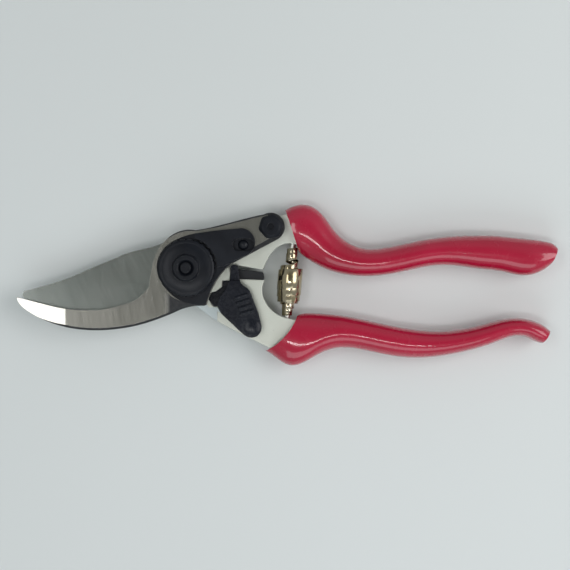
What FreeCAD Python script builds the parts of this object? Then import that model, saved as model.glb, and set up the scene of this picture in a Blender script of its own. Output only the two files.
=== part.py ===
"""Pruning shears: bypass blades, two grips, pivot bolt set, thumb catch and volute spring.

Millimetres.  Outlines are drawn with the pivot axis at x = 0, y = 0 and the rest
surface at z = 0.  place() then moves every node into the row frame.
"""
import FreeCAD
import Part
import math
import os

os.makedirs("parts", exist_ok=True)

V = FreeCAD.Vector

# Row frame: pivot axis seen from the centre of the bounding box
PIVOT_X = -40.0
PIVOT_Y = 6.5

# Height levels of the stack
HEAD_TOP = 2.4
WASHER_TOP = 2.95
HANDLE_BOTTOM = 3.1
BLADE_BOTTOM = 7.1
BLADE_TOP = 10.1
HOOK_BOTTOM = 10.2
HOOK_TOP = 13.6
COVER_TOP = 14.6
SEGMENT_TOP = 16.8
NUT_RIM_TOP = 17.2
NUT_TOP = 19.0
BOLT_TOP = 19.6
CATCH_BOTTOM = 10.4
CATCH_TOP = 14.0

HOOK_CHAMFER = 0.9

# Fasteners of the blade heel and of the tang
RIVETS = [(17.0, -17.4), (22.9, -22.3)]
TANG_RIVETS = [(13.4, 11.4), (19.4, 6.6)]
SEGMENT_SCREW = (22.4, 9.1)
TANG_SCREW = (33.2, 16.3)

# Lower corner, rounded end and upper corner of the arm that covers the tang
ARM_END = [(23.6, 5.0), (26.3, 7.3), (27.0, 10.6), (25.0, 14.3), (20.9, 15.5)]

# Pivot set
BOLT_R = 4.0
BOLT_FIT = 0.06
BUSH_R = 5.2
HEAD_R = 8.4
SPIGOT_R = 2.2
NUT_R = 11.4
NUT_NOTCHES = 24
NOTCH_R = 0.75
HUB_R = 13.6

# Grips
GRIP_MID_Z = 7.2
CORE_WIDTH = 0.50
POCKET_DEPTH = 1.0
UPPER_POCKET = [(25.6, 3.8), (29.0, 3.2), (33.2, 9.3), (38.2, 12.4), (36.6, 18.4), (26.6, 16.2)]
LOWER_POCKET = [
    (20.6, -8.0), (27.6, -8.6), (28.8, -14.2), (32.6, -19.0), (30.4, -24.4), (26.0, -21.0), (21.4, -17.0),
]
LOWER_LIP_R = 26.0
LOWER_LIP_DEPTH = 1.8

# Catch
CATCH_X = 16.5
CATCH_Y = -11.5
CATCH_PIN_R = 1.5
CATCH_FIT = 0.06
CATCH_SWEEP_R = 17.35
CATCH_RIBS = 4
DETENT_BOTTOM = 8.4
DETENT_TOP = 9.95

# Straight edge of the lower handle that carries the cushion
BUMPER_SEAT = ((17.2, -4.2), (30.8, -4.7))

# Spring axis, upper end to lower end
SPRING_TOP = (41.9, 9.0)
SPRING_BOTTOM = (39.5, -19.2)
SPRING_Z = 6.6
SPRING_WALL = 0.55
SPRING_R = 4.9
SPRING_END_R = 2.35
PEG_R = 1.3
PEG_REACH = 3.6
PEG_HOLD = 4.2

# Grip stations: edge away from the other grip, edge facing it, half thickness
UPPER_STATIONS = [
    ((38.9, 23.2), (44.1, 7.2), 6.3),
    ((43.4, 25.2), (44.9, 5.9), 6.8),
    ((48.0, 25.2), (46.0, 4.9), 7.0),
    ((56.2, 18.3), (49.7, 2.5), 7.0),
    ((65.2, 9.6), (59.4, -1.8), 6.9),
    ((75.3, 7.8), (75.1, -3.1), 6.8),
    ((91.6, 10.9), (93.6, 0.3), 6.9),
    ((110.0, 13.0), (110.0, 0.6), 7.0),
    ((129.8, 12.3), (126.6, -1.6), 6.9),
    ((138.5, 11.3), (132.6, -2.8), 6.7),
    ((144.6, 10.2), (139.0, -2.1), 6.2),
    ((147.4, 8.2), (144.4, 1.2), 5.2),
]
LOWER_STATIONS = [
    ((31.0, -33.0), (43.9, -18.6), 6.2),
    ((36.9, -37.0), (47.3, -17.9), 6.8),
    ((42.6, -38.8), (51.8, -18.0), 7.0),
    ((48.3, -36.6), (55.8, -18.3), 7.0),
    ((60.0, -31.8), (63.4, -19.2), 6.9),
    ((76.0, -33.9), (77.8, -22.2), 6.8),
    ((96.4, -35.5), (96.4, -25.0), 6.9),
    ((114.0, -32.4), (111.8, -23.8), 6.9),
    ((127.6, -27.8), (126.0, -20.3), 6.8),
    ((134.6, -27.4), (135.4, -20.3), 6.6),
    ((138.8, -29.3), (141.7, -22.7), 6.1),
    ((141.3, -29.9), (144.4, -24.8), 5.0),
]
SECTION_POINTS = 12


def curve(points):
    """Smooth curve through the points."""
    spline = Part.BSplineCurve()
    spline.interpolate([V(x, y, 0) for x, y in points])
    return spline.toShape()


def line(a, b):
    return Part.makeLine(V(a[0], a[1], 0), V(b[0], b[1], 0))


def path(start, *steps):
    """Closed wire: a step is one point (straight line) or a list of points (curve)."""
    edges = []
    here = start
    for step in steps:
        if isinstance(step, list):
            edges.append(curve([here] + step))
            here = step[-1]
        else:
            edges.append(line(here, step))
            here = step
    if math.dist(here, start) > 0.001:
        edges.append(line(here, start))
    return Part.Wire(edges)


def plate(wire, z0, z1):
    face = Part.Face(wire)
    face.translate(V(0, 0, z0))
    return face.extrude(V(0, 0, z1 - z0))


def disc(x, y, radius, z0, z1):
    return Part.makeCylinder(radius, z1 - z0, V(x, y, z0))


def slot_block(a, b, radius, z0, z1):
    """Straight slot shape with round ends centred on a and b."""
    angle = math.atan2(b[1] - a[1], b[0] - a[0])
    dx = -math.sin(angle) * radius
    dy = math.cos(angle) * radius
    sides = path((a[0] + dx, a[1] + dy), (b[0] + dx, b[1] + dy),
                 (b[0] - dx, b[1] - dy), (a[0] - dx, a[1] - dy))
    shape = plate(sides, z0, z1)
    shape = shape.fuse(disc(a[0], a[1], radius, z0, z1))
    shape = shape.fuse(disc(b[0], b[1], radius, z0, z1))
    return shape.removeSplitter()


def rim_edges(shape, z):
    """Edges that lie in the plane z."""
    edges = []
    for edge in shape.Edges:
        box = edge.BoundBox
        if abs(box.ZMin - z) < 0.01 and abs(box.ZMax - z) < 0.01:
            edges.append(edge)
    return edges


def place(shape):
    moved = shape.copy()
    moved.translate(V(PIVOT_X, PIVOT_Y, 0))
    return moved


def save(name, shape):
    if not isinstance(shape, list):
        shape = [shape]
    solids = []
    for piece in shape:
        solids.extend(place(piece).Solids)
    out = solids[0] if len(solids) == 1 else Part.makeCompound(solids)
    out.exportStep("parts/" + name + ".step")


# ---------------------------------------------------------------- blades

def blade_wire():
    return path(
        (-65.7, -11.2),
        (-64.8, -9.1),
        [(-56.5, -6.9), (-47.8, -4.1), (-40.5, -1.0), (-33.9, 1.8), (-28.0, 4.2)],
        [(-24.0, 5.9), (-15.7, 8.0), (-8.9, 10.4)],
        [(-4.5, 12.8), (2.0, 13.4), (8.5, 10.5), (12.3, 5.0), (12.7, -1.5), (10.0, -7.6), (6.2, -11.6)],
        (8.6, -15.6),
        (14.5, -15.7),
        (19.8, -17.3),
        (25.4, -22.4),
        (23.0, -24.9),
        (17.4, -19.9),
        (11.9, -17.0),
        (11.9, -21.0),
        [(8.6, -18.8), (4.6, -15.9), (0.0, -14.2)],
        [(-7.0, -13.4), (-13.0, -14.6)],
        [(-22.0, -18.3), (-33.0, -20.4), (-44.0, -19.6), (-55.0, -16.4), (-65.7, -11.2)],
    )


def cutting_blade():
    body = plate(blade_wire(), BLADE_BOTTOM, BLADE_TOP)
    bevel = plate(path(
        (-67.0, -12.8),
        [(-55.5, -18.2), (-44.0, -21.6), (-33.0, -22.6), (-21.5, -20.4), (-12.0, -16.6)],
        (-12.0, -10.0),
        [(-22.0, -12.6), (-33.0, -14.6), (-44.0, -13.8), (-55.0, -11.6), (-63.5, -9.6)],
    ), BLADE_BOTTOM - 0.5, BLADE_BOTTOM + 1.5)
    body = body.cut(bevel)
    body = body.cut(disc(0, 0, BUSH_R, BLADE_BOTTOM - 1, BLADE_TOP + 1))
    for x, y in RIVETS:
        body = body.cut(disc(x, y, 1.8, BLADE_BOTTOM - 1, BLADE_TOP + 1))
    return body


def blade_rivets():
    rivets = []
    for x, y in RIVETS:
        shank = disc(x, y, 1.8, HANDLE_BOTTOM, BLADE_TOP)
        head = Part.makeCone(2.2, 2.9, 0.7, V(x, y, HANDLE_BOTTOM - 0.7))
        rivets.append(shank.fuse(head))
    return rivets


def hook_plate():
    wire = path(
        (-67.4, -11.6),
        [(-66.5, -13.8), (-62.6, -17.2), (-56.6, -20.4), (-50.6, -22.6), (-42.7, -24.2), (-34.7, -24.6),
         (-26.8, -24.0), (-18.8, -22.5), (-12.9, -20.7), (-6.9, -18.4), (-2.9, -16.6)],
        [(1.4, -15.3), (7.0, -14.9)],
        (7.8, -14.5),
        (9.6, -9.1),
        [(12.4, -4.2), (16.3, 0.4), (19.3, 2.5)],
        (35.6, 11.2),
        [(37.6, 12.9), (38.7, 15.6), (38.3, 18.4), (36.4, 20.8), (33.6, 21.8), (30.4, 21.1)],
        [(20.9, 18.9), (9.1, 15.9), (3.5, 14.9)],
        [(-4.0, 14.0), (-9.4, 9.8), (-12.4, 4.6), (-14.0, -1.6), (-14.7, -7.3)],
        [(-16.6, -9.6), (-19.8, -12.4), (-26.0, -14.8), (-33.9, -16.5), (-42.3, -16.6), (-47.8, -16.1),
         (-58.3, -13.8), (-67.4, -11.6)],
    )
    body = plate(wire, HOOK_BOTTOM, HOOK_TOP)
    outer_rim = [edge for edge in rim_edges(body, HOOK_TOP) if edge.BoundBox.YMin < -20]
    body = body.makeChamfer(HOOK_CHAMFER, outer_rim)
    body = body.cut(tip_facet())
    body = body.cut(disc(0, 0, BOLT_R, HOOK_BOTTOM - 1, HOOK_TOP + 1))
    for x, y in TANG_RIVETS + [SEGMENT_SCREW, TANG_SCREW]:
        body = body.cut(disc(x, y, 1.6, HOOK_BOTTOM - 1, HOOK_TOP + 1))
    return body


def tip_facet():
    """Wedge that slopes the last part of the hook face down to its tip."""
    side = Part.Wire(Part.makePolygon([
        V(-47.8, -30, HOOK_TOP),
        V(-47.8, -30, HOOK_TOP + 2),
        V(-72.0, -30, HOOK_TOP + 2),
        V(-72.0, -30, HOOK_TOP - 2.0),
        V(-47.8, -30, HOOK_TOP),
    ]).Edges)
    return Part.Face(side).extrude(V(0, 25, 0))


def tang_rivets():
    rivets = []
    for x, y in TANG_RIVETS:
        shank = disc(x, y, 1.6, HANDLE_BOTTOM, HOOK_TOP)
        head = Part.makeCone(2.1, 2.8, 0.7, V(x, y, HANDLE_BOTTOM - 0.7))
        rivets.append(shank.fuse(head))
    return rivets


def tang_screw():
    x, y = TANG_SCREW
    shank = disc(x, y, 1.6, HANDLE_BOTTOM + 1.5, HOOK_TOP)
    head = hexagon(x, y, 5.1, 12, HOOK_TOP, HOOK_TOP + 2.4)
    head = head.common(disc(x, y, 4.8, HOOK_TOP, HOOK_TOP + 3))
    crown = Part.makeCone(6.6, 3.4, 2.4, V(x, y, HOOK_TOP))
    head = head.common(crown)
    recess = hexagon(x, y, 1.5, 0, HOOK_TOP + 1.2, HOOK_TOP + 3)
    return shank.fuse(head).cut(recess)


def hexagon(x, y, radius, turn, z0, z1):
    corners = []
    for i in range(6):
        angle = math.radians(60 * i + turn)
        corners.append((x + radius * math.cos(angle), y + radius * math.sin(angle)))
    return plate(path(corners[0], *corners[1:]), z0, z1)


# ---------------------------------------------------------------- pivot set

def pivot_bolt():
    head = disc(0, 0, HEAD_R, 0, HEAD_TOP)
    head = head.makeChamfer(0.7, rim_edges(head, 0))
    shank = disc(0, 0, BOLT_R, HEAD_TOP, NUT_RIM_TOP)
    spigot = disc(0, 0, SPIGOT_R, NUT_RIM_TOP, BOLT_TOP)
    spigot = spigot.makeChamfer(0.4, rim_edges(spigot, BOLT_TOP))
    slot = Part.makeBox(13.0, 1.8, 1.1, V(-6.5, -0.9, 0))
    return head.fuse(shank).fuse(spigot).cut(slot)


def bolt_washer():
    return disc(0, 0, 7.6, HEAD_TOP, WASHER_TOP).cut(disc(0, 0, BOLT_R, 0, 5))


def pivot_bush():
    ring = disc(0, 0, BUSH_R, HANDLE_BOTTOM, BLADE_TOP)
    return ring.cut(disc(0, 0, BOLT_R + BOLT_FIT, 0, 20))


def notch_positions(count, radius, turn=0.0):
    spots = []
    for i in range(count):
        angle = 2 * math.pi * i / count + math.radians(turn)
        spots.append((radius * math.cos(angle), radius * math.sin(angle)))
    return spots


def adjusting_nut():
    profile = Part.Wire([
        Part.makeLine(V(BOLT_R, 0, COVER_TOP), V(NUT_R, 0, COVER_TOP)),
        Part.makeLine(V(NUT_R, 0, COVER_TOP), V(NUT_R, 0, NUT_RIM_TOP - 0.9)),
        Part.Arc(V(NUT_R, 0, NUT_RIM_TOP - 0.9), V(10.8, 0, NUT_RIM_TOP - 0.2),
                 V(9.7, 0, NUT_RIM_TOP)).toShape(),
        Part.Arc(V(9.7, 0, NUT_RIM_TOP), V(7.6, 0, NUT_RIM_TOP + 0.45),
                 V(5.4, 0, NUT_RIM_TOP + 0.6)).toShape(),
        Part.makeLine(V(5.4, 0, NUT_RIM_TOP + 0.6), V(5.0, 0, NUT_TOP - 0.3)),
        Part.makeLine(V(5.0, 0, NUT_TOP - 0.3), V(4.6, 0, NUT_TOP)),
        Part.makeLine(V(4.6, 0, NUT_TOP), V(SPIGOT_R + 1.2, 0, NUT_TOP)),
        Part.makeLine(V(SPIGOT_R + 1.2, 0, NUT_TOP), V(SPIGOT_R, 0, NUT_TOP - 0.8)),
        Part.makeLine(V(SPIGOT_R, 0, NUT_TOP - 0.8), V(SPIGOT_R, 0, NUT_RIM_TOP)),
        Part.makeLine(V(SPIGOT_R, 0, NUT_RIM_TOP), V(BOLT_R, 0, NUT_RIM_TOP)),
        Part.makeLine(V(BOLT_R, 0, NUT_RIM_TOP), V(BOLT_R, 0, COVER_TOP)),
    ])
    body = Part.Face(profile).revolve(V(0, 0, 0), V(0, 0, 1), 360)
    for x, y in notch_positions(NUT_NOTCHES, NUT_R + 0.25):
        body = body.cut(disc(x, y, NOTCH_R, COVER_TOP - 1, NUT_TOP + 1))
    return body


def cover_plate():
    wire = path(
        (-11.7, 0.0),
        [(-11.2, -3.0), (-8.2, -8.1), (-3.7, -12.1), (1.8, -14.2), (5.4, -14.6), (7.6, -14.3)],
        (9.4, -9.0),
        [(12.1, -4.2), (15.9, 0.3), (19.0, 2.5)],
        ARM_END[0],
        ARM_END[1:],
        [(9.0, 14.3), (1.6, 13.2), (-3.6, 11.4), (-8.6, 8.0), (-11.2, 3.6), (-11.7, 0.0)],
    )
    body = plate(wire, HOOK_TOP, COVER_TOP)
    for x, y, radius in ((0, 0, BOLT_R), (*SEGMENT_SCREW, 1.6)):
        body = body.cut(disc(x, y, radius, HOOK_TOP - 1, COVER_TOP + 1))
    return body


def toothed_segment():
    wire = path(
        (12.0, 0.2),
        [(15.9, 1.2), (19.0, 2.9)],
        ARM_END[0],
        ARM_END[1:],
        [(9.0, 14.3), (3.2, 13.5)],
        (4.1, 8.0),
    )
    body = plate(wire, COVER_TOP, SEGMENT_TOP)
    body = body.cut(disc(0, 0, NUT_R + 0.75, HOOK_TOP - 1, SEGMENT_TOP + 1))
    for x, y in notch_positions(NUT_NOTCHES, NUT_R + 0.75):
        if 4.9 < x and 2.0 < y:
            body = body.fuse(disc(x, y, NOTCH_R - 0.15, COVER_TOP, SEGMENT_TOP - 0.4))
    recess = slot_block((20.7, 9.1), (24.3, 9.1), 2.5, SEGMENT_TOP - 1.8, SEGMENT_TOP + 1)
    body = body.cut(recess)
    x, y = SEGMENT_SCREW
    return body.cut(disc(x, y, 1.6, HOOK_TOP - 1, SEGMENT_TOP + 1))


def segment_screw():
    x, y = SEGMENT_SCREW
    shank = disc(x, y, 1.6, HANDLE_BOTTOM + 1.5, SEGMENT_TOP - 1.8)
    ball = Part.makeSphere(2.6, V(x, y, SEGMENT_TOP - 3.3))
    dome = ball.common(disc(x, y, 2.1, SEGMENT_TOP - 1.8, SEGMENT_TOP))
    return shank.fuse(dome)


# ---------------------------------------------------------------- grips and handles

def section(outer, inner, half):
    """Rounded cross-section of a grip, closed smooth curve."""
    cx = (outer[0] + inner[0]) / 2
    cy = (outer[1] + inner[1]) / 2
    ux = (outer[0] - inner[0]) / 2
    uy = (outer[1] - inner[1]) / 2
    points = []
    for i in range(SECTION_POINTS):
        angle = 2 * math.pi * i / SECTION_POINTS
        across = math.cos(angle)
        points.append(V(cx + ux * across, cy + uy * across, GRIP_MID_Z + half * math.sin(angle)))
    spline = Part.BSplineCurve()
    spline.interpolate(Points=points, PeriodicFlag=True)
    return Part.Wire(spline.toShape())


def grip(stations, core):
    wires = [section(*station) for station in stations]
    body = Part.makeLoft(wires, True, False)
    return body.cut(core)


def lower_lip():
    """Disc that hollows the front edge of the lower grip."""
    (x0, y0), (x1, y1), half = LOWER_STATIONS[0]
    reach = (LOWER_LIP_R - LOWER_LIP_DEPTH) / math.hypot(x1 - x0, y1 - y0)
    cx = (x0 + x1) / 2 - (y1 - y0) * reach
    cy = (y0 + y1) / 2 + (x1 - x0) * reach
    return disc(cx, cy, LOWER_LIP_R, 0, 20)


def core_side(stations, share):
    """Points a share of the way from the middle of each station to its outer edge."""
    points = []
    for outer, inner, half in stations:
        cx = (outer[0] + inner[0]) / 2
        cy = (outer[1] + inner[1]) / 2
        points.append((cx + (outer[0] - cx) * share, cy + (outer[1] - cy) * share))
    return points


def upper_handle():
    inside = UPPER_STATIONS[3:10]
    outer = core_side(inside, CORE_WIDTH)
    inner = core_side(inside, -CORE_WIDTH)
    inner.reverse()
    edges = [
        line((16.4, 1.3), (19.4, 1.2)),
        line((19.4, 1.2), (30.0, -0.6)),
        curve([(30.0, -0.6), (31.3, 2.4), (33.6, 6.2), (36.8, 8.9), (40.4, 9.9), (43.6, 9.2)]),
        line((43.6, 9.2), inner[-1]),
        curve(list(reversed(inner))),
        line(inner[0], outer[-1]),
        curve(list(reversed(outer))),
        line(outer[0], (46.5, 21.4)),
        line((46.5, 21.4), (40.0, 21.6)),
        curve([(40.0, 21.6), (34.8, 20.4), (24.0, 18.4), (9.1, 14.8)]),
        line((9.1, 14.8), (9.1, 12.2)),
        curve([(9.1, 12.2), (13.0, 8.2), (16.4, 1.3)]),
    ]
    body = plate(Part.Wire(edges), HANDLE_BOTTOM, HOOK_BOTTOM)
    return body.cut(disc(0, 0, HUB_R + 1.6, 0, 20))


def drill_upper(body):
    for x, y in TANG_RIVETS:
        body = body.cut(disc(x, y, 1.6, 0, 20))
    for x, y in (SEGMENT_SCREW, TANG_SCREW):
        body = body.cut(disc(x, y, 1.6, HANDLE_BOTTOM + 1.5, 20))
    body = body.cut(pocket(UPPER_POCKET))
    return body.cut(peg_bore(SPRING_TOP, 1))


def lower_handle():
    inside = LOWER_STATIONS[3:10]
    outer = core_side(inside, CORE_WIDTH)
    inner = core_side(inside, -CORE_WIDTH)
    edges = [
        curve([(-13.0, -3.6), (-9.6, 9.6), (0.0, HUB_R), (9.6, 9.6), (HUB_R, 0.0)]),
        line((HUB_R, 0.0), (16.9, 0.4)),
        line((16.9, 0.4), BUMPER_SEAT[0]),
        line(BUMPER_SEAT[0], BUMPER_SEAT[1]),
        curve([BUMPER_SEAT[1], (29.7, -9.5), (31.2, -13.8), (34.6, -17.6), (38.8, -19.6), (43.0, -20.4)]),
        line((43.0, -20.4), inner[0]),
        curve(inner),
        line(inner[-1], outer[-1]),
        curve(list(reversed(outer))),
        line(outer[0], (43.5, -35.5)),
        line((43.5, -35.5), (36.0, -33.6)),
        curve([(36.0, -33.6), (32.0, -31.4), (22.0, -26.5), (11.8, -20.9)]),
        curve([(11.8, -20.9), (7.6, -17.8), (3.2, -15.2)]),
        curve([(3.2, -15.2), (-4.0, -13.0), (-10.6, -8.6), (-13.0, -3.6)]),
    ]
    body = plate(Part.Wire(edges), HANDLE_BOTTOM, BLADE_TOP)
    body = body.cut(pocket(LOWER_POCKET))
    for pin in bumper_pins():
        body = body.cut(pin)
    body = body.cut(plate(blade_wire(), BLADE_BOTTOM, BLADE_TOP + 1))
    body = body.cut(plate(detent_wire(), DETENT_BOTTOM, BLADE_TOP + 1))
    body = body.cut(disc(0, 0, BUSH_R, 0, 20))
    body = body.cut(disc(CATCH_X, CATCH_Y, CATCH_PIN_R, 0, 20))
    for x, y in RIVETS:
        body = body.cut(disc(x, y, 1.8, 0, 20))
    return body.cut(peg_bore(SPRING_BOTTOM, -1))


def pocket(points):
    """Shallow casting recess in the underside of a handle."""
    wire = path(points[0], *points[1:])
    block = plate(wire, HANDLE_BOTTOM - 1, HANDLE_BOTTOM + POCKET_DEPTH)
    return block.makeFillet(0.9, [e for e in block.Edges if e.BoundBox.ZLength > 1.0])


# ---------------------------------------------------------------- spring set

def spring_direction():
    dx = SPRING_TOP[0] - SPRING_BOTTOM[0]
    dy = SPRING_TOP[1] - SPRING_BOTTOM[1]
    length = math.hypot(dx, dy)
    return dx / length, dy / length, length


def peg_bore(end, side):
    ux, uy, length = spring_direction()
    start = V(end[0], end[1], SPRING_Z)
    return Part.makeCylinder(PEG_R, PEG_HOLD, start, V(side * ux, side * uy, 0))


def spring_peg(end, side):
    """Pin pressed into the handle that guides one end of the spring."""
    ux, uy, length = spring_direction()
    axis = V(side * ux, side * uy, 0)
    inner = V(end[0] - side * ux * PEG_REACH, end[1] - side * uy * PEG_REACH, SPRING_Z)
    return Part.makeCylinder(PEG_R, PEG_REACH + PEG_HOLD, inner, axis)


def spring_clearance():
    """Round channel that keeps the front corner of the upper grip off the spring."""
    ux, uy, length = spring_direction()
    start = V(SPRING_BOTTOM[0], SPRING_BOTTOM[1], SPRING_Z)
    return Part.makeCylinder(SPRING_END_R + 0.2, length, start, V(ux, uy, 0))


def volute_spring():
    ux, uy, length = spring_direction()
    steps = [
        (0.3, SPRING_END_R), (4.8, SPRING_END_R), (4.8, 3.9), (6.2, 3.9), (6.2, SPRING_R),
        (18.4, SPRING_R), (18.4, 4.1), (20.0, 4.1), (20.0, 3.2), (21.6, 3.2), (21.6, SPRING_END_R),
        (length - 0.3, SPRING_END_R),
    ]
    outer = [V(radius, 0, z) for z, radius in steps]
    inner = [V(radius - SPRING_WALL, 0, z) for z, radius in shift_inner(steps)]
    inner.reverse()
    wire = Part.makePolygon(outer + inner + [outer[0]])
    body = Part.Face(Part.Wire(wire.Edges)).revolve(V(0, 0, 0), V(0, 0, 1), 360)
    turn = FreeCAD.Rotation(V(0, 0, 1), V(ux, uy, 0))
    body.Placement = FreeCAD.Placement(V(SPRING_BOTTOM[0], SPRING_BOTTOM[1], SPRING_Z), turn)
    return body


def shift_inner(steps):
    """Move each riser of the stepped wall by the wall thickness towards the wide side."""
    moved = []
    for i, (z, radius) in enumerate(steps):
        if i in (0, len(steps) - 1):
            moved.append((z, radius))
            continue
        before = steps[i - 1][1]
        after = steps[min(i + 1, len(steps) - 1)][1]
        rising = after > radius or radius > before
        moved.append((z + SPRING_WALL if rising else z - SPRING_WALL, radius))
    return moved


# ---------------------------------------------------------------- catch set

def detent_wire():
    return path(
        (13.9, -4.9),
        (16.6, -4.9),
        (16.6, -12.0),
        (13.4, -15.3),
        (10.4, -15.3),
        (8.4, -12.4),
        (9.7, -9.5),
        (11.4, -9.2),
        (13.8, -7.4),
    )


def catch_detent():
    body = plate(detent_wire(), DETENT_BOTTOM, DETENT_TOP)
    body = body.cut(plate(blade_wire(), BLADE_BOTTOM - 1, BLADE_TOP + 1))
    return body.cut(disc(CATCH_X, CATCH_Y, CATCH_PIN_R, 0, 20))


def thumb_catch():
    wire = path(
        (12.2, -15.3),
        [(12.6, -12.6), (14.9, -8.9)],
        (15.3, -5.3),
        (16.9, -4.9),
        (17.2, 0.0),
        [(17.8, 1.0), (19.2, 1.3), (20.2, 0.3)],
        (21.0, -4.9),
        [(22.0, -6.6), (24.2, -8.3), (26.2, -12.4), (28.1, -17.4), (29.4, -22.4)],
        [(29.3, -24.9), (27.7, -26.9), (25.2, -27.4), (23.0, -26.6)],
        [(20.4, -24.4), (17.0, -21.1), (13.3, -17.4), (12.2, -15.3)],
    )
    body = plate(wire, CATCH_BOTTOM, CATCH_TOP)
    body = body.cut(disc(0, 0, CATCH_SWEEP_R, 0, 20))
    step = Part.makeBox(30, 12, 2, V(0, -4.9, HOOK_TOP - 0.6))
    body = body.cut(step)
    for i in range(CATCH_RIBS):
        x = 19.0 + 0.75 * i
        y = -11.9 - 2.1 * i
        rib = Part.makeCylinder(0.65, 5.6, V(x, y, CATCH_TOP - 0.2), V(0.96, 0.28, 0))
        body = body.fuse(rib)
    dome = Part.makeSphere(9.0, V(25.6, -23.4, CATCH_TOP - 8.3))
    body = body.fuse(dome.common(disc(25.6, -23.4, 3.6, CATCH_TOP - 0.4, CATCH_TOP + 2)))
    return body.cut(disc(CATCH_X, CATCH_Y, CATCH_PIN_R + CATCH_FIT, 0, CATCH_TOP - 1.2))


def catch_pin():
    pin = disc(CATCH_X, CATCH_Y, CATCH_PIN_R, HANDLE_BOTTOM, CATCH_TOP - 1.5)
    head = Part.makeCone(1.9, 2.5, 0.6, V(CATCH_X, CATCH_Y, HANDLE_BOTTOM - 0.6))
    return pin.fuse(head)


# ---------------------------------------------------------------- bumper

def handle_edge_y(x):
    """Height of the straight top edge of the lower handle at x."""
    (x0, y0), (x1, y1) = BUMPER_SEAT
    return y0 + (y1 - y0) * (x - x0) / (x1 - x0)


def bumper():
    wire = path(
        (19.3, handle_edge_y(19.3)),
        (19.3, -1.2),
        [(19.7, -0.6), (20.8, -0.4)],
        (28.8, -1.3),
        [(29.9, -1.7), (30.4, -2.7), (30.4, handle_edge_y(30.4))],
    )
    return plate(wire, HANDLE_BOTTOM + 0.9, BLADE_TOP - 0.9)


def bumper_pins():
    """Two stems that hold the cushion in the handle edge."""
    pins = []
    for x, y in ((22.2, -2.6), (27.4, -2.8)):
        pins.append(Part.makeCylinder(1.1, 6.0, V(x, y, SPRING_Z), V(0, -1, 0)))
    return pins


def build():
    upper = upper_handle()
    lower = lower_handle()
    stems = bumper_pins()
    save("cutting_blade", cutting_blade())
    save("blade_rivets", blade_rivets())
    save("hook_plate", hook_plate())
    save("tang_rivets", tang_rivets())
    save("tang_screw", tang_screw())
    save("pivot_bolt", pivot_bolt())
    save("bolt_washer", bolt_washer())
    save("pivot_bush", pivot_bush())
    save("adjusting_nut", adjusting_nut())
    save("cover_plate", cover_plate())
    save("toothed_segment", toothed_segment())
    save("segment_screw", segment_screw())
    save("upper_handle", drill_upper(upper))
    save("lower_handle", lower)
    save("upper_grip", grip(UPPER_STATIONS, upper).cut(spring_clearance()))
    save("lower_grip", grip(LOWER_STATIONS, lower).cut(lower_lip()))
    save("upper_spring_peg", spring_peg(SPRING_TOP, 1))
    save("lower_spring_peg", spring_peg(SPRING_BOTTOM, -1))
    save("volute_spring", volute_spring())
    save("catch_detent", catch_detent())
    save("thumb_catch", thumb_catch())
    save("catch_pin", catch_pin())
    save("bumper", bumper().cut(stems[0]).cut(stems[1]))
    save("bumper_pins", stems)


build()
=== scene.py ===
"""Looks of the pruning shears: a finish for every CAD piece, the coiled volute spring,
and a plain studio with the camera straight above."""

import math

import bpy
from mathutils import Matrix, Vector


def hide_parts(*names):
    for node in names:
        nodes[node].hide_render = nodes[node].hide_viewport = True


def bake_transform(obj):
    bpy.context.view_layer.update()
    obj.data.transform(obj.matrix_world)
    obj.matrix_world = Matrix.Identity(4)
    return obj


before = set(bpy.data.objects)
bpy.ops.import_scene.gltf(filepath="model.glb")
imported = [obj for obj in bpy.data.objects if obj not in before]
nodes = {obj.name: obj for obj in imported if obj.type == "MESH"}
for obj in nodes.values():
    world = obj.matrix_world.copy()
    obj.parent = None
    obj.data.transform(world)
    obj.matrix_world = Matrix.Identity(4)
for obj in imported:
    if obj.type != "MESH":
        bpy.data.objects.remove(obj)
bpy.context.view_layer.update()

MM = 0.001
PIVOT = Vector((-0.040, 0.0065, 0.0))

# First and second tint of each finish, and the tints of its marks
BLADE_TINTS = ((0.40, 0.44, 0.41), (0.47, 0.50, 0.47))
BLADE_HEEL_TINT = (0.46, 0.52, 0.53)
HOOK_TINTS = ((0.42, 0.41, 0.37), (0.50, 0.49, 0.44))
# Black of the hook's edges: partly its black coat, partly painted shade along those edges
HOOK_COAT_AND_SHADE_TINTS = ((0.010, 0.011, 0.013), (0.030, 0.031, 0.034))
ALLOY_TINTS = ((0.53, 0.55, 0.49), (0.62, 0.64, 0.58))
ALLOY_PIT_TINT = (0.27, 0.27, 0.25)
ALLOY_WORN_TINT = (0.86, 0.87, 0.84)
VINYL_TINTS = ((0.34, 0.004, 0.026), (0.43, 0.007, 0.040))
VINYL_DUST_TINT = (0.72, 0.30, 0.30)
BLACK_STEEL_TINTS = ((0.004, 0.005, 0.008), (0.010, 0.012, 0.017))
BLACK_STEEL_WORN_TINT = (0.30, 0.30, 0.29)
ZINC_TINTS = ((0.60, 0.60, 0.57), (0.70, 0.69, 0.64))
BRONZE_TINTS = ((0.52, 0.34, 0.15), (0.62, 0.44, 0.22))
SPRING_TINTS = ((0.46, 0.37, 0.21), (0.52, 0.47, 0.37))
NYLON_TINTS = ((0.004, 0.005, 0.009), (0.010, 0.012, 0.018))
RUBBER_TINTS = ((0.009, 0.010, 0.012), (0.018, 0.019, 0.022))
GRIME_TINT = (0.20, 0.17, 0.12)
SCUFF_TINT = (0.25, 0.25, 0.25)
LINE_TINT = (0.24, 0.24, 0.22)
SCRATCH_TINT = (0.80, 0.80, 0.78)
FLOOR_TINTS = ((0.66, 0.69, 0.68), (0.71, 0.74, 0.74))

# Softened width of edges, in metres
GROUND_EDGE = 0.00012
CAST_EDGE = 0.0006
CAST_WEAR = 0.0005
LACQUER_EDGE = 0.0005
LACQUER_WEAR = 0.00035
MOULD_EDGE = 0.0008

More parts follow.
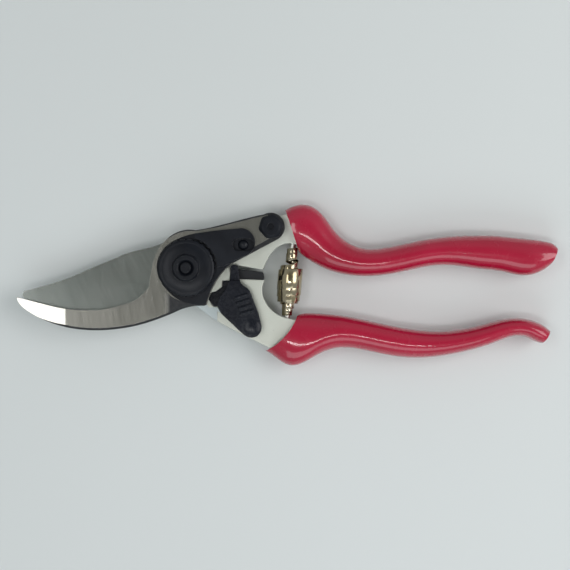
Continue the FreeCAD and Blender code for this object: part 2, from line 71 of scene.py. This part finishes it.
# Ground strip of the tang, in millimetres from the pivot
HUB_CENTRE = (1.5, 0.6)
HUB_STRIP_R = (13.85, 14.05)
HUB_STRAIGHT_FROM_X = 3.5
HUB_STRIP_LEFT_X = -9.0


def from_pivot(x, y, z):
    """Point given in millimetres from the pivot axis, in the row frame."""
    return PIVOT + Vector((x, y, z)) * MM


# ------------------------------------------------------------------ finishes

class Finish:
    """One material and short ways to wire its nodes."""

    def __init__(self, name):
        self.material = bpy.data.materials.new(name)
        self.material.use_nodes = True
        self.tree = self.material.node_tree
        self.tree.nodes.clear()
        self.output = self.tree.nodes.new("ShaderNodeOutputMaterial")
        self.shader = self.tree.nodes.new("ShaderNodeBsdfPrincipled")
        self.join(self.shader.outputs[0], self.output.inputs["Surface"])
        self.coords = self.tree.nodes.new("ShaderNodeTexCoord")

    def join(self, source, target):
        self.tree.links.new(source, target)

    def fixed(self, **values):
        """Set constant shader sockets; underscores stand for spaces."""
        for key, value in values.items():
            self.shader.inputs[key.replace("_", " ")].default_value = value

    def place(self, scale=(1, 1, 1), turn=0.0, centre=(0, 0, 0)):
        """Object coordinates, turned about Z and stretched."""
        shift = self.tree.nodes.new("ShaderNodeMapping")
        shift.vector_type = "POINT"
        shift.inputs["Location"].default_value = [-c for c in centre]
        self.join(self.coords.outputs["Object"], shift.inputs["Vector"])
        mapping = self.tree.nodes.new("ShaderNodeMapping")
        mapping.inputs["Rotation"].default_value = (0, 0, turn)
        self.join(shift.outputs[0], mapping.inputs["Vector"])
        stretch = self.tree.nodes.new("ShaderNodeVectorMath")
        stretch.operation = "MULTIPLY"
        stretch.inputs[1].default_value = scale
        self.join(mapping.outputs[0], stretch.inputs[0])
        return stretch.outputs[0]

    def noise(self, where, scale, detail=3.0, roughness=0.5, distortion=0.0):
        node = self.tree.nodes.new("ShaderNodeTexNoise")
        node.inputs["Scale"].default_value = scale
        node.inputs["Detail"].default_value = detail
        node.inputs["Roughness"].default_value = roughness
        node.inputs["Distortion"].default_value = distortion
        self.join(where, node.inputs["Vector"])
        return node.outputs["Fac"]

    def span(self, value, low, high, to_low=0.0, to_high=1.0):
        """Map low..high to to_low..to_high, clamped."""
        node = self.tree.nodes.new("ShaderNodeMapRange")
        node.inputs["From Min"].default_value = low
        node.inputs["From Max"].default_value = high
        node.inputs["To Min"].default_value = to_low
        node.inputs["To Max"].default_value = to_high
        self.join(value, node.inputs["Value"])
        return node.outputs[0]

    def math(self, how, a, b):
        node = self.tree.nodes.new("ShaderNodeMath")
        node.operation = how
        for socket, value in zip(node.inputs, (a, b)):
            if isinstance(value, (int, float)):
                socket.default_value = value
            else:
                self.join(value, socket)
        return node.outputs[0]

    def choose(self, share, first, second):
        """Number that goes from first to second as share goes from 0 to 1."""
        node = self.tree.nodes.new("ShaderNodeMix")
        for socket, value in zip(node.inputs, (share, None, first, second)):
            if value is not None:
                self.join(value, socket)
        return node.outputs[0]

    def blend(self, share, first, second, how="MIX"):
        """Colour between first and second; each is a colour tuple or a socket."""
        node = self.tree.nodes.new("ShaderNodeMix")
        node.data_type = "RGBA"
        node.blend_type = how
        factor, colour_a, colour_b = node.inputs[0], node.inputs[6], node.inputs[7]
        for socket, value in ((factor, share), (colour_a, first), (colour_b, second)):
            if isinstance(value, (int, float)):
                socket.default_value = value
            elif isinstance(value, tuple):
                socket.default_value = (*value, 1.0)
            else:
                self.join(value, socket)
        return node.outputs[2]

    def rounded(self, radius):
        """Normal with softly rounded edges."""
        bevel = self.tree.nodes.new("ShaderNodeBevel")
        bevel.inputs["Radius"].default_value = radius
        return bevel.outputs[0]

    def along(self, point, direction):
        """Distance in millimetres from a point, given from the pivot, along a flat direction."""
        dot = self.tree.nodes.new("ShaderNodeVectorMath")
        dot.operation = "DOT_PRODUCT"
        self.join(self.place(centre=from_pivot(*point, 0.0)), dot.inputs[0])
        dot.inputs[1].default_value = (direction[0] / MM, direction[1] / MM, 0.0)
        return dot.outputs["Value"]

    def reach(self, point):
        """Distance in millimetres from an upright axis through a point given from the pivot."""
        length = self.tree.nodes.new("ShaderNodeVectorMath")
        length.operation = "LENGTH"
        flat = self.place((1 / MM, 1 / MM, 0.0), centre=from_pivot(*point, 0.0))
        self.join(flat, length.inputs[0])
        return length.outputs["Value"]

    def bump(self, height, strength, distance, under=None):
        node = self.tree.nodes.new("ShaderNodeBump")
        node.inputs["Strength"].default_value = strength
        node.inputs["Distance"].default_value = distance
        self.join(height, node.inputs["Height"])
        if under is not None:
            self.join(under, node.inputs["Normal"])
        return node.outputs[0]

    def facing_up(self, low, high):
        """1 on faces that lie flat, 0 on side walls and chamfers."""
        split = self.tree.nodes.new("ShaderNodeSeparateXYZ")
        self.join(self.coords.outputs["Normal"], split.inputs[0])
        return self.span(self.math("ABSOLUTE", split.outputs[2], 0.0), low, high)

    def worn_edges(self, width, low, high):
        """1 within this width of an edge, 0 elsewhere, broken up by noise."""
        bevel = self.tree.nodes.new("ShaderNodeBevel")
        bevel.inputs["Radius"].default_value = width
        geometry = self.tree.nodes.new("ShaderNodeNewGeometry")
        dot = self.tree.nodes.new("ShaderNodeVectorMath")
        dot.operation = "DOT_PRODUCT"
        self.join(bevel.outputs[0], dot.inputs[0])
        self.join(geometry.outputs["True Normal"], dot.inputs[1])
        edge = self.span(dot.outputs["Value"], 0.995, 0.86)
        broken = self.span(self.noise(self.place(), 420, 4.0, 0.65), low, high)
        return self.math("MULTIPLY", edge, broken)

    def colour(self, socket):
        self.join(socket, self.shader.inputs["Base Color"])

    def rough(self, socket):
        self.join(socket, self.shader.inputs["Roughness"])

    def normal(self, socket):
        self.join(socket, self.shader.inputs["Normal"])


def ground_face(finish, tints, turn, rough_low, rough_high):
    """Colour, roughness and normal of a belt-ground steel face; lines run along turn."""
    grain = finish.noise(finish.place((60, 2600, 2600), turn), 1.0, 4.0, 0.6)
    broad = finish.noise(finish.place((1, 1, 1)), 38.0, 3.0, 0.55)
    scratch = finish.noise(finish.place((45, 1500, 1500), turn + 0.5), 1.0, 2.0, 0.5)
    mark = finish.span(scratch, 0.69, 0.74)
    body = finish.blend(finish.span(broad, 0.3, 0.7), *tints)
    lined = finish.blend(finish.span(grain, 0.25, 0.75, 0.0, 0.10), body, LINE_TINT)
    marked = finish.blend(finish.math("MULTIPLY", mark, 0.12), lined, SCRATCH_TINT)
    rough = finish.math("ADD", finish.span(grain, 0.2, 0.8, rough_low, rough_high),
                        finish.math("MULTIPLY", mark, 0.06))
    normal = finish.bump(grain, 0.04, 0.00002, finish.rounded(GROUND_EDGE))
    return marked, rough, normal


def blade_finish():
    """Ground steel, with a duller heel beside the pivot."""
    finish = Finish("ground_blade_steel")
    finish.fixed(Metallic=1.0, Anisotropic=0.35)
    colour, rough, normal = ground_face(finish, BLADE_TINTS, math.radians(62), 0.13, 0.21)
    heel = finish.span(finish.along((2.0, -12.0), (1.0, 0.0)), 0.0, 1.5)
    finish.colour(finish.blend(heel, colour, BLADE_HEEL_TINT))
    finish.rough(finish.math("ADD", rough, finish.math("MULTIPLY", heel, 0.18)))
    finish.normal(normal)
    return finish.material


def polished_tang(finish):
    """1 inside the ground strip of the tang, 0 on the black margin along its edges and end.

    The strip follows the round hub first, then its straight upper edge, then the tang.
    """
    # The black margin is partly the black coat and partly painted shade; it is widest along the
    # tang's lower edge, where the shade is painted in.
    lower = finish.span(finish.along((19.3, 2.5), (-0.480, 0.877)), 1.55, 1.75)
    upper = finish.span(finish.along((9.1, 15.8), (0.242, -0.970)), 0.45, 0.60)
    end = finish.span(finish.along((33.2, 16.3), (0.877, 0.480)), 1.2, 0.9)
    tang = finish.math("MULTIPLY", finish.math("MULTIPLY", lower, upper), end)
    round_part = finish.span(finish.reach(HUB_CENTRE), *HUB_STRIP_R, 1.0, 0.0)
    straight_part = finish.span(finish.along((9.1, 15.9), (0.176, -0.984)), 0.35, 0.50)
    past_round = finish.span(finish.along((HUB_STRAIGHT_FROM_X, 0.0), (1.0, 0.0)), -0.2, 0.2)
    hub_top = finish.choose(past_round, round_part, straight_part)
    hub_left = finish.span(
        finish.along((HUB_STRIP_LEFT_X, 0.0), (1.0, 0.0)), 0.0, 2.5, 1.0, 0.0)
    hub = finish.math("MAXIMUM", hub_top, hub_left)
    past_hub = finish.span(finish.along((17.0, 5.0), (0.877, 0.480)), -0.1, 0.1)
    return finish.choose(past_hub, hub, tang)


def hook_finish():
    """Ground steel on the flat faces; black coat on the edges and on the tang's margin, and that
    black also serves as painted shade along those edges.
    """
    finish = Finish("hook_face_and_black_edge")
    finish.fixed(Anisotropic=0.3)
    colour, rough, normal = ground_face(finish, HOOK_TINTS, math.radians(78), 0.15, 0.25)
    flat = finish.math("MULTIPLY", finish.facing_up(0.86, 0.93), polished_tang(finish))
    dark_edge_noise = finish.noise(finish.place(), 520.0, 4.0, 0.6)
    # Black coat colour, which also works as painted shade on the hook's edges and the tang's
    # margin
    coat = finish.blend(finish.span(dark_edge_noise, 0.35, 0.75), *HOOK_COAT_AND_SHADE_TINTS)
    finish.colour(finish.blend(flat, coat, colour))
    coat_and_shade_share = finish.span(flat, 0.0, 1.0, 1.0, 0.0)
    finish.rough(finish.math("ADD", finish.math("MULTIPLY", rough, flat),
                             finish.math("MULTIPLY", coat_and_shade_share, 0.34)))
    finish.join(finish.span(flat, 0.0, 1.0, 0.15, 1.0), finish.shader.inputs["Metallic"])
    finish.normal(normal)
    return finish.material


def alloy_finish():
    """Cast alloy with small pits and bright worn rims."""
    finish = Finish("satin_cast_alloy")
    finish.fixed(Metallic=0.82)
    broad = finish.noise(finish.place(), 42.0, 3.0, 0.5)
    fine = finish.noise(finish.place(), 1500.0, 3.0, 0.6)
    pits = finish.span(finish.noise(finish.place(), 620.0, 2.0, 0.5), 0.70, 0.80)
    body = finish.blend(finish.span(broad, 0.3, 0.7), *ALLOY_TINTS)
    speck = finish.blend(finish.math("MULTIPLY", pits, 0.45), body, ALLOY_PIT_TINT)
    wear = finish.worn_edges(CAST_WEAR, 0.35, 0.62)
    finish.colour(finish.blend(finish.math("MULTIPLY", wear, 0.55), speck, ALLOY_WORN_TINT))
    finish.rough(finish.span(fine, 0.2, 0.8, 0.36, 0.50))
    pitted = finish.bump(pits, -0.3, 0.00006, finish.rounded(CAST_EDGE))
    finish.normal(finish.bump(fine, 0.22, 0.00004, pitted))
    return finish.material


def vinyl_finish():
    """Glossy dipped coat with a soft orange peel and a little dust."""
    finish = Finish("crimson_dipped_vinyl")
    finish.fixed(Coat_Weight=0.9, Coat_Roughness=0.035, Specular_IOR_Level=0.3)
    broad = finish.noise(finish.place(), 30.0, 3.0, 0.5)
    peel = finish.noise(finish.place(), 330.0, 2.0, 0.4)
    flow = finish.noise(finish.place((0.35, 1.0, 1.0)), 95.0, 2.0, 0.5)
    dust = finish.span(finish.noise(finish.place(), 1900.0, 2.0, 0.5), 0.76, 0.84)
    body = finish.blend(finish.span(broad, 0.3, 0.7), *VINYL_TINTS)
    finish.colour(finish.blend(finish.math("MULTIPLY", dust, 0.18), body, VINYL_DUST_TINT))
    finish.rough(finish.span(peel, 0.25, 0.75, 0.20, 0.30))
    finish.normal(finish.bump(peel, 0.02, 0.0002, finish.bump(flow, 0.04, 0.0004)))
    return finish.material


def black_steel_finish():
    """Black lacquer, rubbed to bare metal along the rims."""
    finish = Finish("black_lacquered_steel")
    fine = finish.noise(finish.place(), 900.0, 4.0, 0.6)
    broad = finish.noise(finish.place(), 90.0, 3.0, 0.5)
    wear = finish.worn_edges(LACQUER_WEAR, 0.48, 0.62)
    body = finish.blend(finish.span(broad, 0.3, 0.7), *BLACK_STEEL_TINTS)
    finish.colour(finish.blend(finish.math("MULTIPLY", wear, 0.35), body, BLACK_STEEL_WORN_TINT))
    finish.fixed(Specular_IOR_Level=0.25)
    finish.join(finish.span(wear, 0.0, 1.0, 0.1, 0.85), finish.shader.inputs["Metallic"])
    finish.rough(finish.span(fine, 0.25, 0.75, 0.27, 0.42))
    finish.normal(finish.bump(fine, 0.10, 0.00004, finish.rounded(LACQUER_EDGE)))
    return finish.material


def plated_finish(name, tints, rough_low, rough_high, turn=0.3):
    """Plated or turned metal with fine lines along turn and a little grime."""
    finish = Finish(name)
    finish.fixed(Metallic=1.0)
    broad = finish.noise(finish.place(), 160.0, 3.0, 0.5)
    lines = finish.noise(finish.place((120, 2400, 2400), turn), 1.0, 3.0, 0.5)
    grime = finish.span(finish.noise(finish.place(), 700.0, 3.0, 0.6), 0.62, 0.74)
    body = finish.blend(finish.span(broad, 0.3, 0.7), *tints)
    finish.colour(finish.blend(finish.math("MULTIPLY", grime, 0.3), body, GRIME_TINT))
    finish.rough(finish.span(lines, 0.2, 0.8, rough_low, rough_high))
    finish.normal(finish.bump(lines, 0.12, 0.00002))
    return finish.material


def moulded_finish(name, tints, rough_low, rough_high, grain, depth):
    """Black plastic or rubber with a fine moulded texture and a few pale scuffs."""
    finish = Finish(name)
    fine = finish.noise(finish.place(), grain, 3.0, 0.6)
    broad = finish.noise(finish.place(), 110.0, 3.0, 0.5)
    streaks = finish.noise(finish.place((150, 1400, 1400), 0.9), 1.0, 2.0, 0.5)
    scuff = finish.span(streaks, 0.70, 0.76)
    body = finish.blend(finish.span(broad, 0.3, 0.7), *tints)
    finish.colour(finish.blend(finish.math("MULTIPLY", scuff, 0.05), body, SCUFF_TINT))
    finish.rough(finish.span(fine, 0.25, 0.75, rough_low, rough_high))
    finish.fixed(Specular_IOR_Level=0.28)
    finish.normal(finish.bump(fine, 0.08, depth, finish.rounded(MOULD_EDGE)))
    return finish.material


alloy = alloy_finish()
vinyl = vinyl_finish()
black_steel = black_steel_finish()
zinc = plated_finish("zinc_plated_steel", ZINC_TINTS, 0.26, 0.42)
bronze = plated_finish("turned_bronze", BRONZE_TINTS, 0.28, 0.42)
spring_strip = plated_finish("plated_spring_strip", SPRING_TINTS, 0.12, 0.22, turn=1.5)
nylon = moulded_finish("black_catch_nylon", NYLON_TINTS, 0.20, 0.34, grain=700.0, depth=0.00004)
rubber = moulded_finish(
    "black_cushion_rubber", RUBBER_TINTS, 0.38, 0.55, grain=1100.0, depth=0.00006)

FINISH_OF = {
    "cutting_blade": blade_finish(),
    "hook_plate": hook_finish(),
    "blade_rivets": zinc,
    "tang_rivets": zinc,
    "tang_screw": black_steel,
    "pivot_bolt": black_steel,
    "bolt_washer": zinc,
    "pivot_bush": bronze,
    "adjusting_nut": black_steel,
    "cover_plate": black_steel,
    "toothed_segment": black_steel,
    "segment_screw": black_steel,
    "upper_handle": alloy,
    "lower_handle": alloy,
    "upper_grip": vinyl,
    "lower_grip": vinyl,
    "upper_spring_peg": zinc,
    "lower_spring_peg": zinc,
    "volute_spring": spring_strip,
    "catch_detent": nylon,
    "thumb_catch": nylon,
    "catch_pin": zinc,
    "bumper": rubber,
    "bumper_pins": rubber,
}
for name, material in FINISH_OF.items():
    slots = nodes[name].material_slots
    if not slots:
        nodes[name].data.materials.append(material)
    for holder in slots:
        holder.material = material


# ------------------------------------------------------------------ volute spring

SPRING_LOW = from_pivot(39.5, -19.2, 6.6)
SPRING_HIGH = from_pivot(41.9, 9.0, 6.6)
SPRING_SIZES = {
    "Turns": 9.5,
    "Length": 0.028,
    "Widest Radius": 0.0047,
    "Widest Strip": 0.0078,
    "Strip Thickness": 0.0004,
}
SPRING_COUNTS = {"Steps": 430}
STRIP_CORNER = 0.00012

# Share along the strip from its lower end, then the part of the widest or longest size
RADIUS_CURVE = [(0.0, 0.42), (0.20, 0.46), (0.30, 0.60), (0.38, 0.84), (0.44, 0.90),
                (0.66, 1.0), (0.74, 0.86), (0.82, 0.50), (1.0, 0.43)]
HEIGHT_CURVE = [(0.0, 0.052), (0.20, 0.135), (0.40, 0.320), (0.44, 0.345), (0.62, 0.500),
                (0.74, 0.640), (0.84, 0.830), (1.0, 0.940)]
WIDTH_CURVE = [(0.0, 0.36), (0.20, 0.46), (0.38, 1.0), (0.66, 1.0), (0.76, 0.70),
               (0.86, 0.40), (1.0, 0.36)]


def tree_with_inputs(name, sizes, counts):
    """Geometry Nodes group with named inputs; gives the tree, its input and output nodes."""
    tree = bpy.data.node_groups.new(name, "GeometryNodeTree")
    tree.interface.new_socket("Geometry", in_out="OUTPUT", socket_type="NodeSocketGeometry")
    for key, value in sizes.items():
        socket = tree.interface.new_socket(key, in_out="INPUT", socket_type="NodeSocketFloat")
        socket.default_value = value
    for key, value in counts.items():
        socket = tree.interface.new_socket(key, in_out="INPUT", socket_type="NodeSocketInt")
        socket.default_value = value
    return tree, tree.nodes.new("NodeGroupInput"), tree.nodes.new("NodeGroupOutput")


def close_tree(tree, geometry, output, material):
    """Realize Instances and Set Material at the end of the tree."""
    solid = tree.nodes.new("GeometryNodeRealizeInstances")
    paint = tree.nodes.new("GeometryNodeSetMaterial")
    paint.inputs["Material"].default_value = material
    tree.links.new(geometry, solid.inputs[0])
    tree.links.new(solid.outputs[0], paint.inputs["Geometry"])
    tree.links.new(paint.outputs[0], output.inputs[0])


def grow(name, tree, values, matrix):
    """Run the tree with these input values, keep a plain mesh and move it by the matrix."""
    holder = bpy.data.objects.new(name + "_maker", bpy.data.meshes.new(name + "_maker"))
    bpy.context.scene.collection.objects.link(holder)
    modifier = holder.modifiers.new("maker", "NODES")
    modifier.node_group = tree
    for item in tree.interface.items_tree:
        if item.in_out == "INPUT" and item.name in values:
            modifier[item.identifier] = values[item.name]
    bpy.context.view_layer.update()
    made = holder.evaluated_get(bpy.context.evaluated_depsgraph_get())
    mesh = bpy.data.meshes.new_from_object(made)
    holder.modifiers.remove(modifier)
    bpy.data.objects.remove(holder)
    mesh.transform(matrix)
    piece = bpy.data.objects.new(name, mesh)
    bpy.context.scene.collection.objects.link(piece)
    return piece


def profile_curve(tree, share, points):
    """Value that runs smoothly through the points, read at the share along the strip."""
    node = tree.nodes.new("ShaderNodeFloatCurve")
    drawn = node.mapping.curves[0]
    for x, y in points[1:-1]:
        drawn.points.new(x, y)
    for handle, (x, y) in zip(drawn.points, points):
        handle.location = (x, y)
        handle.handle_type = "AUTO_CLAMPED"
    node.mapping.update()
    tree.links.new(share, node.inputs["Value"])
    return node.outputs[0]


def times(tree, a, b, how="MULTIPLY"):
    """Product of two numbers or sockets, or another Math result; b may be None."""
    node = tree.nodes.new("ShaderNodeMath")
    node.operation = how
    for socket, value in zip(node.inputs, (a, b)):
        if isinstance(value, (int, float)):
            socket.default_value = value
        elif value is not None:
            tree.links.new(value, socket)
    return node.outputs[0]


def coil_tree(material):
    """One strip wound as narrow rings at both ends and wide overlapping turns in the middle."""
    tree, given, output = tree_with_inputs("volute_coil", SPRING_SIZES, SPRING_COUNTS)
    line = tree.nodes.new("GeometryNodeCurvePrimitiveLine")
    dense = tree.nodes.new("GeometryNodeResampleCurve")
    tree.links.new(line.outputs[0], dense.inputs["Curve"])
    tree.links.new(given.outputs["Steps"], dense.inputs["Count"])
    share = tree.nodes.new("GeometryNodeSplineParameter").outputs["Factor"]
    radius = times(tree, profile_curve(tree, share, RADIUS_CURVE), given.outputs["Widest Radius"])
    height = times(tree, profile_curve(tree, share, HEIGHT_CURVE), given.outputs["Length"])
    width = profile_curve(tree, share, WIDTH_CURVE)
    angle = times(tree, times(tree, share, given.outputs["Turns"]), 2 * math.pi)
    spot = tree.nodes.new("ShaderNodeCombineXYZ")
    tree.links.new(times(tree, radius, times(tree, angle, None, "COSINE")), spot.inputs[0])
    tree.links.new(times(tree, radius, times(tree, angle, None, "SINE")), spot.inputs[1])
    tree.links.new(height, spot.inputs[2])
    wound = tree.nodes.new("GeometryNodeSetPosition")
    tree.links.new(dense.outputs[0], wound.inputs["Geometry"])
    tree.links.new(spot.outputs[0], wound.inputs["Position"])
    upright = tree.nodes.new("GeometryNodeSetCurveNormal")
    upright.mode = "Z_UP"
    tree.links.new(wound.outputs[0], upright.inputs[0])
    strip = tree.nodes.new("GeometryNodeCurvePrimitiveQuadrilateral")
    tree.links.new(given.outputs["Strip Thickness"], strip.inputs["Width"])
    tree.links.new(given.outputs["Widest Strip"], strip.inputs["Height"])
    corner = tree.nodes.new("GeometryNodeFilletCurve")
    corner.inputs["Radius"].default_value = STRIP_CORNER
    tree.links.new(strip.outputs[0], corner.inputs[0])
    sweep = tree.nodes.new("GeometryNodeCurveToMesh")
    sweep.inputs["Fill Caps"].default_value = True
    tree.links.new(upright.outputs[0], sweep.inputs["Curve"])
    tree.links.new(corner.outputs[0], sweep.inputs["Profile Curve"])
    tree.links.new(width, sweep.inputs["Scale"])
    close_tree(tree, sweep.outputs[0], output, material)
    return tree


def along_spring():
    """Matrix from a coil drawn up from the origin to the spring's place."""
    turn = (SPRING_HIGH - SPRING_LOW).to_track_quat("Z", "Y").to_matrix().to_4x4()
    return Matrix.Translation(SPRING_LOW) @ turn


spring_piece = grow("volute_spring_coils", coil_tree(spring_strip),
                    {**SPRING_SIZES, **SPRING_COUNTS}, along_spring())
for face in spring_piece.data.polygons:
    face.use_smooth = True
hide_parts("volute_spring")
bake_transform(spring_piece)


# ------------------------------------------------------------------ studio

FLOOR_SIZE = 30.0
FLOOR_DROP = 0.0001


def floor_finish():
    """Pale matt paper."""
    finish = Finish("pale_paper_floor")
    broad = finish.noise(finish.place(), 3.0, 2.0, 0.5)
    fine = finish.noise(finish.place(), 900.0, 2.0, 0.5)
    finish.colour(finish.blend(broad, *FLOOR_TINTS))
    finish.fixed(Roughness=0.75, Specular_IOR_Level=0.25)
    finish.normal(finish.bump(fine, 0.05, 0.0001))
    return finish.material


bpy.ops.mesh.primitive_plane_add(size=FLOOR_SIZE, location=(0, 0, -FLOOR_DROP))
floor = bpy.context.object
floor.name = "studio_floor"
floor.data.materials.append(floor_finish())


def softbox(name, place, aim, size, power, tint):
    """Rectangular lamp at place, turned towards aim."""
    data = bpy.data.lights.new(name, "AREA")
    data.shape = "RECTANGLE"
    data.size, data.size_y = size
    data.energy = power
    data.color = tint
    lamp = bpy.data.objects.new(name, data)
    lamp.location = place
    lamp.rotation_euler = (Vector(aim) - Vector(place)).to_track_quat("-Z", "Y").to_euler()
    bpy.context.scene.collection.objects.link(lamp)


# Name, place, aim, size, power, tint
SOFTBOXES = [
    ("window_left", (-0.50, 0.05, 1.10), (-0.12, 0.02, 0), (0.80, 0.22), 2.0, (0.98, 0.99, 1.0)),
    ("fill_right", (0.62, 0.02, 0.58), (0.14, 0.01, 0), (0.7, 0.5), 3.4, (1.0, 0.985, 0.99)),
    ("fill_front", (0.0, -1.1, 0.8), (0.05, 0, 0), (1.2, 0.6), 3.4, (0.88, 0.96, 1.0)),
    ("ceiling_tube_0", (-0.06, -0.30, 1.15), (0, 0, 0), (0.52, 0.02), 0.9, (1.0, 1.0, 1.0)),
    ("ceiling_tube_1", (-0.06, -0.36, 1.15), (0, 0, 0), (0.52, 0.02), 0.9, (1.0, 1.0, 1.0)),
]
for lamp_settings in SOFTBOXES:
    softbox(*lamp_settings)

AIR_STRENGTH = 0.62
AIR_WALLS = (0.70, (0.58, 0.62, 0.63, 1.0))
AIR_OVERHEAD = (0.95, (0.26, 0.27, 0.26, 1.0))


def studio_air():
    """Soft surroundings: darker straight above, brighter towards the walls."""
    world = bpy.data.worlds.new("studio_air")
    world.use_nodes = True
    tree = world.node_tree
    coords = tree.nodes.new("ShaderNodeTexCoord")
    split = tree.nodes.new("ShaderNodeSeparateXYZ")
    ramp = tree.nodes.new("ShaderNodeValToRGB")
    for element, (position, tint) in zip(ramp.color_ramp.elements, (AIR_WALLS, AIR_OVERHEAD)):
        element.position = position
        element.color = tint
    tree.links.new(coords.outputs["Generated"], split.inputs[0])
    tree.links.new(split.outputs[2], ramp.inputs[0])
    tree.links.new(ramp.outputs[0], tree.nodes["Background"].inputs[0])
    tree.nodes["Background"].inputs[1].default_value = AIR_STRENGTH
    return world


bpy.context.scene.world = studio_air()

CAMERA_PLACE = (-0.0012, -0.0002, 0.513)
CAMERA_LENS = 80.0
CAMERA_SENSOR = 36.0
CAMERA_NEAR = 0.01

camera_data = bpy.data.cameras.new("top_camera")
camera_data.lens = CAMERA_LENS
camera_data.sensor_width = CAMERA_SENSOR
camera_data.clip_start = CAMERA_NEAR
camera = bpy.data.objects.new("top_camera", camera_data)
camera.location = CAMERA_PLACE
bpy.context.scene.collection.objects.link(camera)
bpy.context.scene.camera = camera
bpy.context.scene.view_settings.view_transform = "Standard"
